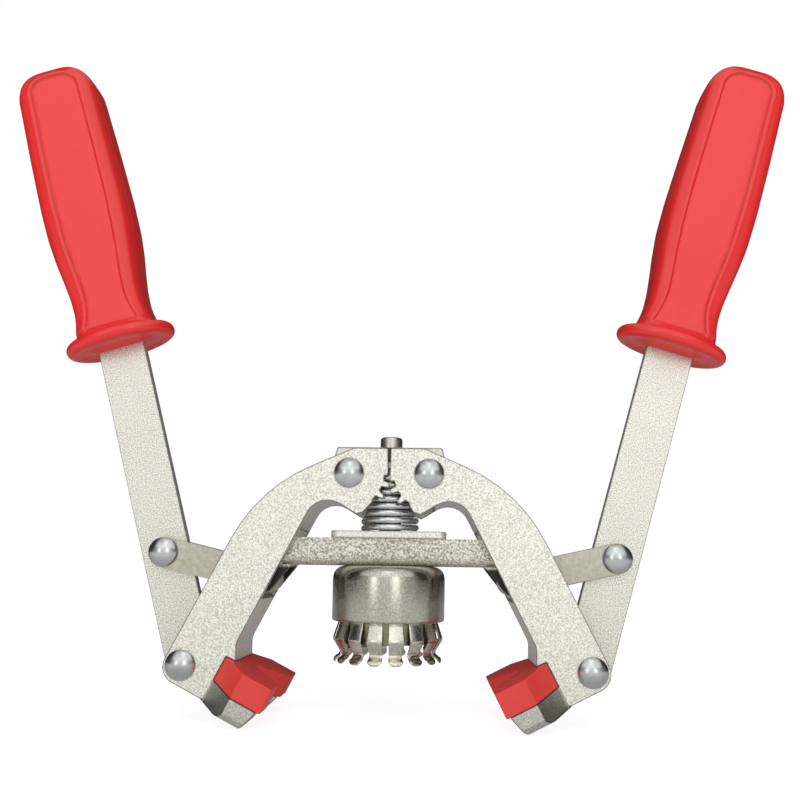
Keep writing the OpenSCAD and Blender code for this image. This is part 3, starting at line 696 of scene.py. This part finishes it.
PAIRED_SHEETS = {"arm": (0.4, plated), "lever": (0.7, lever_plating_painted_shade),
                 "front_link": (0.35, brushed), "rear_link": (0.35, brushed)}
MIDDLE_SHEETS = {"frame_bracket": shaded, "crossbar": speckled, "spring_seat": plated}
MIDDLE_EASE = 0.3
for name in SIDES:
    for part, (width, coat) in PAIRED_SHEETS.items():
        eased_copy(f"{name}_{part}", width, coat)
for node, coat in MIDDLE_SHEETS.items():
    eased_copy(node, MIDDLE_EASE, coat)
print("eased", 2 * len(PAIRED_SHEETS) + len(MIDDLE_SHEETS), "sheet pieces")

# %% [markdown]
# ## Jaw pads
# Each pad is a red moulding with a V notch for the bottle's neck. It could be a box with a wedge cut
# away, but a short closed outline, carried down the leg for the pad's height, gives the notch its
# round floor too. A bevel softens the moulded edges.

# %% Jaw pads
PAD_LOW, PAD_HEIGHT, PAD_EASE = -1.0, 8.8, 0.45
PAD_BACK, PAD_SHOULDER, PAD_FACE = 12.5, 22.0, 33.0
PAD_HALF, BACK_HALF = 24, 13
NOTCH_FLOOR, NOTCH_HALF, NOTCH_ROUND = 20.0, 13, 3.0

notch = eased([(PAD_FACE, -NOTCH_HALF), (NOTCH_FLOOR, 0), (PAD_FACE, NOTCH_HALF)], [NOTCH_ROUND], steps=9)
pad_plan = np.concatenate([
    [(PAD_BACK, -BACK_HALF), (PAD_SHOULDER, -PAD_HALF), (PAD_FACE, -PAD_HALF)], notch,
    [(PAD_FACE, PAD_HALF), (PAD_SHOULDER, PAD_HALF), (PAD_BACK, BACK_HALF)]])


def prism(name, low_ring, high_ring):
    """Two rings joined by quads and closed by one flat face each, with faces turned outward."""
    count = len(low_ring)
    mesh = bpy.data.meshes.new(name)
    faces = grid_quads(2, count).tolist() + [list(range(count)), list(range(count, 2 * count))]
    mesh.from_pydata((np.concatenate([low_ring, high_ring]) * MM).tolist(), [], faces)
    work = bmesh.new()
    work.from_mesh(mesh)
    bmesh.ops.recalc_face_normals(work, faces=work.faces)
    work.to_mesh(mesh)
    work.free()
    crease(mesh, degrees=25)
    return add_object(name, mesh)


for name, side in SIDES.items():
    inward, depth = pad_plan.T
    rings = [on_leg(inward, depth, down, side) for down in (PAD_LOW, PAD_LOW - PAD_HEIGHT)]
    pad = prism(f"{name}_moulded_pad", *rings)
    soften(pad, "moulded edges", PAD_EASE, segments=3, degrees=30)
    finish_piece(pad, pad_red, f"{name}_jaw_pad")
print("two pads,", len(pad_plan), "corners each")

# %% [markdown]
# ## Rivets
# Each pivot is a cold-headed rivet with a shallow dome at both ends. A slice of a sphere would give the
# dome, but a lathe profile gives the shank, a short rim and both domes in one closed skin.

# %% Rivets
HEAD_R, HEAD_H, SHANK_R = 5.3, 2.6, 3.0
RIM_H, RIM_TUCK = 0.4, 0.06
FOOT_H, FOOT_TUCK = 0.25, 0.1
RIVETS = {"pivot": (ARM_PIVOT, 13.1), "lever": (LEVER_PIVOT, 13.0), "link": (LINK_PIVOT, 4.7)}


def rivet_profile(grip_half):
    """From one pole over a spherical dome and a short rim to the shank, and the same mirrored."""
    dome_h = HEAD_H - RIM_H
    ball = (HEAD_R ** 2 + dome_h ** 2) / (2 * dome_h)
    turn = np.linspace(0, math.asin(HEAD_R / ball), 18)
    dome = np.stack([ball * np.sin(turn), grip_half + HEAD_H - ball + ball * np.cos(turn)], -1)
    dome[-1, 0] -= RIM_TUCK
    rim = [(HEAD_R, grip_half + FOOT_H), (HEAD_R - FOOT_TUCK, grip_half), (SHANK_R, grip_half)]
    half = np.concatenate([dome, rim])
    return np.concatenate([half, half[::-1] * (1, -1)])


for name, side in SIDES.items():
    for part, ((x, z), grip_half) in RIVETS.items():
        rings = lathe(rivet_profile(grip_half), (side * x, z), axis="Y", around=72)
        rivet = skin(f"{name}_{part}_rivet_dome", [rings], degrees=45)
        finish_piece(rivet, rivet_steel, f"{name}_{part}_rivet")
print("rivets", 2 * len(RIVETS))

# %% [markdown]
# ## Return spring
# One wire wound on a helix between the seat and the bush. It rises slowly in front and faster behind, so
# the curls lie nearly level to the eye, as in the photograph. The tube's section is carried along the
# helix on the radial and upright axes.

# %% Spring
WIRE_R, WIRE_TIP, COIL_R, CURLS = 1.14, 0.002, 9.26, 8
COIL_LOW, COIL_HIGH = 39.96, 59.84
COIL_START, COIL_SWAY = math.radians(180), 0.9


def spring_grid(per_curl=40, sides=14):
    """Centre = coil radius x (cos, sin) of the turn; its rise is the turn's share less a cosine sway."""
    share = np.linspace(0, 1, CURLS * per_curl + 1)
    turn = 2 * np.pi * CURLS * share + COIL_START
    share = share - COIL_SWAY * (np.cos(turn) - math.cos(COIL_START)) / (2 * np.pi * CURLS)
    share, turn = (np.pad(values, 1, "edge")[:, None] for values in (share, turn))
    wire = np.full_like(share, WIRE_R)
    wire[[0, -1]] = WIRE_TIP
    ring = np.linspace(0, 2 * np.pi, sides, endpoint=False)[None, :]
    radius = COIL_R + wire * np.cos(ring)
    rise = COIL_LOW + (COIL_HIGH - COIL_LOW) * share + wire * np.sin(ring)
    return np.stack([radius * np.cos(turn), radius * np.sin(turn), rise], -1)


spring = skin("wound_spring", [spring_grid()], degrees=60)
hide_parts("return_spring")
spring.data.materials.append(spring_zinc)
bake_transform(spring)
print("spring points", len(spring.data.vertices))

# %% [markdown]
# ## Bell
# The cup is drawn from sheet, the cap guide and the spindle are turned. All three are round, so each is
# a lathe profile of a few corners, with the large shoulder of the cup as its own radius.

# %% Cup, guide and spindle
CUP_R, CUP_INSIDE, CUP_BORE = 20.0, 17.75, 4.1
CUP_TOP, CUP_ROOF, CUP_RIM = 26.7, 22.2, 7.3
GUIDE_R, CAP_R, GUIDE_BORE = 17.0, 16.2, 15.5
GUIDE_TOP, CAP_DEEP = 22.1, 4.0
SPINDLE_R, SPINDLE_LOW, SPINDLE_TOP, SPINDLE_POLE = 4.0, 10.2, 73.2, 0.005

cup_profile = closed(
    [(CUP_BORE, CUP_TOP), (CUP_R, CUP_TOP), (CUP_R, CUP_RIM), (CUP_INSIDE, CUP_RIM),
     (CUP_INSIDE, CUP_ROOF), (CUP_BORE, CUP_ROOF)], [5.0, 1.3, 0.4, 0.4], steps=10)
guide_profile = closed(
    [(16.6, GUIDE_TOP), (GUIDE_R, GUIDE_TOP), (GUIDE_R, 0.0), (CAP_R, 0.0), (CAP_R, CAP_DEEP),
     (GUIDE_BORE, CAP_DEEP), (GUIDE_BORE, GUIDE_TOP)], [0.2, 0.3, 0.2, 0.1, 0.1], steps=5)
spindle_profile = eased(
    [(SPINDLE_POLE, SPINDLE_LOW), (SPINDLE_R, SPINDLE_LOW), (SPINDLE_R, SPINDLE_TOP),
     (SPINDLE_POLE, SPINDLE_TOP)], [0.3, 1.1], steps=9)
ROUND_PIECES = {"drawn_cup": (cup_profile, "bell_cup", cup_nickel),
                "guide_sleeve": (guide_profile, "cap_guide_ring", sleeve_nickel),
                "turned_spindle": (spindle_profile, "spindle", turned)}
for name, (profile, node, coat) in ROUND_PIECES.items():
    round_piece = skin(name, [lathe(profile, (0.0, 0.0), axis="Z", around=120)], degrees=45)
    finish_piece(round_piece, coat, node)
    print(name, len(round_piece.data.vertices), "points")

# %% [markdown]
# ## Finger collet
# The collet is one ring of spring steel, slit into sixteen fingers that bulge out, draw in round the
# crown's edge and end in a small spoon. A finger is a strip: a line of radius and height is given a
# thickness and a width. Turned copies stand round the bell, and a short collar joins them inside the cup.

# %% Finger collet
FINGERS, FIRST_FINGER, SLIT = 16, math.radians(11.8 - 90), 2.15
FINGER_T, SPOON_LENGTH, SPOON_CUT, END_SHARE = 0.6, 1.8, 0.85, 0.01
FINGER_LINE = [(17.4, 12.0), (17.4, 7.0), (19.15, 1.75), (19.15, 1.05), (16.5, -3.2), (17.3, -4.5),
               (18.6, -5.3), (18.9, -6.2), (18.7, -6.55)]
FINGER_BENDS = [0.8, 0.4, 0.4, 1.2, 0.7, 0.9, 0.3]
COLLAR_OUT, COLLAR_IN, COLLAR_TOP, COLLAR_LOW = 17.7, 17.1, 22.1, 10.3


def flattened(wave, power):
    """A sine or cosine pressed toward -1 and 1: its sign times its size to a power."""
    return np.sign(wave) * np.abs(wave) ** power


def finger_grid(index, sides=16):
    """Points along the line get a normal; each section is a flat rounded box bent round the axis.

    The width is the ring's share less the slit, narrowed at the tip as the side of an ellipse is.
    """
    line = eased(FINGER_LINE, FINGER_BENDS, steps=7)
    line = np.concatenate([line[:1], line, line[-1:]])
    slope = np.gradient(line, axis=0)
    slope[0], slope[-1] = slope[1], slope[-2]
    slope /= np.linalg.norm(slope, axis=1, keepdims=True)
    normal = np.stack([-slope[:, 1], slope[:, 0]], -1)
    section = np.linspace(0, 2 * np.pi, sides, endpoint=False)
    flat = flattened(np.cos(section), 0.2)
    thick = flattened(np.sin(section), 0.35) * FINGER_T / 2
    shrink = np.ones(len(line))
    shrink[[0, -1]] = END_SHARE
    left = np.cumsum(np.linalg.norm(np.diff(line[::-1], axis=0, prepend=line[-1:]), axis=1))[::-1]
    spoon = np.sqrt(1 - SPOON_CUT * np.clip(1 - left / SPOON_LENGTH, 0, 1) ** 2)
    width = (2 * np.pi * line[:, 0] / FINGERS - SLIT) / 2 * spoon
    radius = line[:, :1] + normal[:, :1] * thick * shrink[:, None]
    rise = line[:, 1:] + normal[:, 1:] * thick * shrink[:, None]
    turn = FIRST_FINGER + 2 * np.pi * index / FINGERS + (width * shrink / line[:, 0])[:, None] * flat
    return np.stack([radius * np.cos(turn), radius * np.sin(turn), rise], -1)


collar_profile = closed(
    [(17.4, COLLAR_TOP), (COLLAR_OUT, COLLAR_TOP), (COLLAR_OUT, COLLAR_LOW), (COLLAR_IN, COLLAR_LOW),
     (COLLAR_IN, COLLAR_TOP)], [0.1, 0.1, 0.1], steps=3)
collet = skin("finger_strips", [finger_grid(i) for i in range(FINGERS)], degrees=40)
collar = skin("collet_root", [lathe(collar_profile, (0.0, 0.0), axis="Z", around=96)], degrees=40)
collar.parent = collet
collar.data.materials.append(collet_steel)
finish_piece(collet, collet_steel, "finger_collet")
print("collet", len(collet.data.vertices), "points in", FINGERS, "fingers")

# %% [markdown]
# ## Floor
# The tool stands on its two noses on a pale floor. A white table could be lit until it is white, but
# then it would flood the tool from below. So the floor shows the camera a white of its own, a little
# darker near the tool as painted shade, round where its shadow falls. To reflections and all other rays
# it glows with painted light, bright in front only, as a table under the front lamps would be.

# %% Floor
FLOOR_HALF, FLOOR_GAP = 6.0, 0.0004
NEAR_TO_FAR = (0.15, 0.8, 0.84, 1.0)
BACK_TO_FRONT = (-0.03, 0.12, 0.15, 0.60)


def floor_finish():
    """Emission: white by the distance from the middle for the camera, a ramp to the front for other rays."""
    paint = bpy.data.materials.new("pale floor")
    paint.use_nodes = True
    tree = paint.node_tree
    shader = tree.nodes["Principled BSDF"]
    place = tree.nodes.new("ShaderNodeTexCoord").outputs["Object"]
    away = tree.nodes.new("ShaderNodeVectorMath")
    away.operation = "LENGTH"
    tree.links.new(place, away.inputs[0])
    axes = tree.nodes.new("ShaderNodeSeparateXYZ")
    tree.links.new(place, axes.inputs[0])
    # Painted shade: for the camera the floor's white is lower near the tool.
    white = map_range(tree, away.outputs["Value"], *NEAR_TO_FAR).outputs["Result"]
    forward = math_node(tree, "MULTIPLY", axes.outputs["Y"], -1.0)
    # Painted light: for all other rays the floor glows, brighter toward the front.
    glow = map_range(tree, forward, *BACK_TO_FRONT).outputs["Result"]
    seen = tree.nodes.new("ShaderNodeLightPath").outputs["Is Camera Ray"]
    unseen = math_node(tree, "SUBTRACT", 1.0, seen)
    shine = math_node(tree, "ADD", math_node(tree, "MULTIPLY", seen, white),
                      math_node(tree, "MULTIPLY", unseen, glow))
    shader.inputs["Base Color"].default_value = (0.4, 0.4, 0.4, 1)
    shader.inputs["Roughness"].default_value = 0.9
    shader.inputs["Specular IOR Level"].default_value = 0.1
    shader.inputs["Emission Color"].default_value = (1, 1, 1, 1)
    tree.links.new(shine, shader.inputs["Emission Strength"])
    return paint


floor_z = cad_box[0][2] - FLOOR_GAP
corners = np.array([(-1, -1), (1, -1), (1, 1), (-1, 1)]) * FLOOR_HALF
floor_mesh = bpy.data.meshes.new("floor")
floor_mesh.from_pydata(np.column_stack([corners, np.full(4, floor_z)]).tolist(), [], [[0, 1, 2, 3]])
floor_mesh.materials.append(floor_finish())
floor = add_object("floor", floor_mesh)
print("floor at", round(floor_z, 4))

# %% [markdown]
# ## Lamps
# Two large soft boxes stand high in front and one overhead, as on a product table. A back fill, which
# reflections leave out, keeps the back readable.

# %% Lamps
MIDDLE = (0.0, 0.0, 0.09)


def lamp(name, place, size, power):
    """A square area lamp that looks from its place to the middle of the tool."""
    data = bpy.data.lights.new(name, "AREA")
    data.size = size
    data.energy = power
    obj = add_object(name, data)
    obj.location = place
    aim = np.subtract(MIDDLE, place)
    level = math.hypot(aim[0], aim[1])
    obj.rotation_euler = (math.atan2(level, -aim[2]), 0, math.atan2(-aim[0], aim[1]))
    return obj


lamp("left soft box", (-0.50, -0.85, 1.10), size=1.40, power=4.1)
lamp("right soft box", (0.46, -0.85, 1.10), size=1.40, power=4.8)
lamp("top soft box", (0.0, 0.1, 1.2), size=0.9, power=1.5)
back_fill = lamp("back fill", (0.0, 0.9, 0.6), size=1.2, power=3.0)
back_fill.visible_glossy = False
print("lamps", len(bpy.data.lights))

# %% [markdown]
# ## Surround
# Satin metal shows what surrounds it. The surround is bright in front, with two brighter panels that
# draw the upright streaks on the cup, and dark at the sides and behind, so that round pieces keep dark
# edges. The camera itself sees plain white.

# %% Surround
FRONT_RAMPS = ((0.25, 0.75, 0.46), (0.70, 0.97, 0.46))
PANEL_PLACES, PANEL_FADE, PANEL_LEVEL = (-0.53, 0.31), (0.20, 0.07), 1.8
PANEL_FRONT, PANEL_HEIGHT = (0.3, 0.7), (0.42, 0.22)
DARKEST = 0.03

world = bpy.data.worlds.new("surround")
bpy.context.scene.world = world
world.use_nodes = True
tree = world.node_tree


def ramp_up(value, low, high, top):
    """An S curve from 0 at low to top at high, as a socket of the surround's tree."""
    step = map_range(tree, value, low, high, 0.0, top)
    step.interpolation_type = "SMOOTHSTEP"
    return step.outputs["Result"]


def front_panel(sideways, place):
    """A bright panel: full at its place across the front, gone a fifth to either side."""
    off = math_node(tree, "ABSOLUTE", math_node(tree, "SUBTRACT", sideways, place))
    return ramp_up(off, *PANEL_FADE, PANEL_LEVEL)


axes = tree.nodes.new("ShaderNodeSeparateXYZ")
tree.links.new(tree.nodes.new("ShaderNodeTexCoord").outputs["Generated"], axes.inputs[0])
front = math_node(tree, "MULTIPLY", axes.outputs["Y"], -1.0)
sideways = math_node(tree, "DIVIDE", axes.outputs["X"], math_node(tree, "MAXIMUM", front, 0.05))
upright = math_node(tree, "ABSOLUTE", axes.outputs["Z"])
bright = math_node(tree, "ADD", *(ramp_up(front, *ends) for ends in FRONT_RAMPS))
panels = math_node(tree, "ADD", *(front_panel(sideways, place) for place in PANEL_PLACES))
panels = math_node(tree, "MULTIPLY", panels, ramp_up(front, *PANEL_FRONT, 1.0))
panels = math_node(tree, "MULTIPLY", panels, ramp_up(upright, *PANEL_HEIGHT, 1.0))
bright = math_node(tree, "ADD", math_node(tree, "ADD", bright, panels), DARKEST)
seen = tree.nodes.new("ShaderNodeLightPath").outputs["Is Camera Ray"]
background = tree.nodes["Background"]
background.inputs["Color"].default_value = (1, 1, 1, 1)
tree.links.new(math_node(tree, "MAXIMUM", bright, seen), background.inputs["Strength"])
bpy.context.scene.view_settings.view_transform = "Standard"
print("surround with", len(PANEL_PLACES), "front panels")
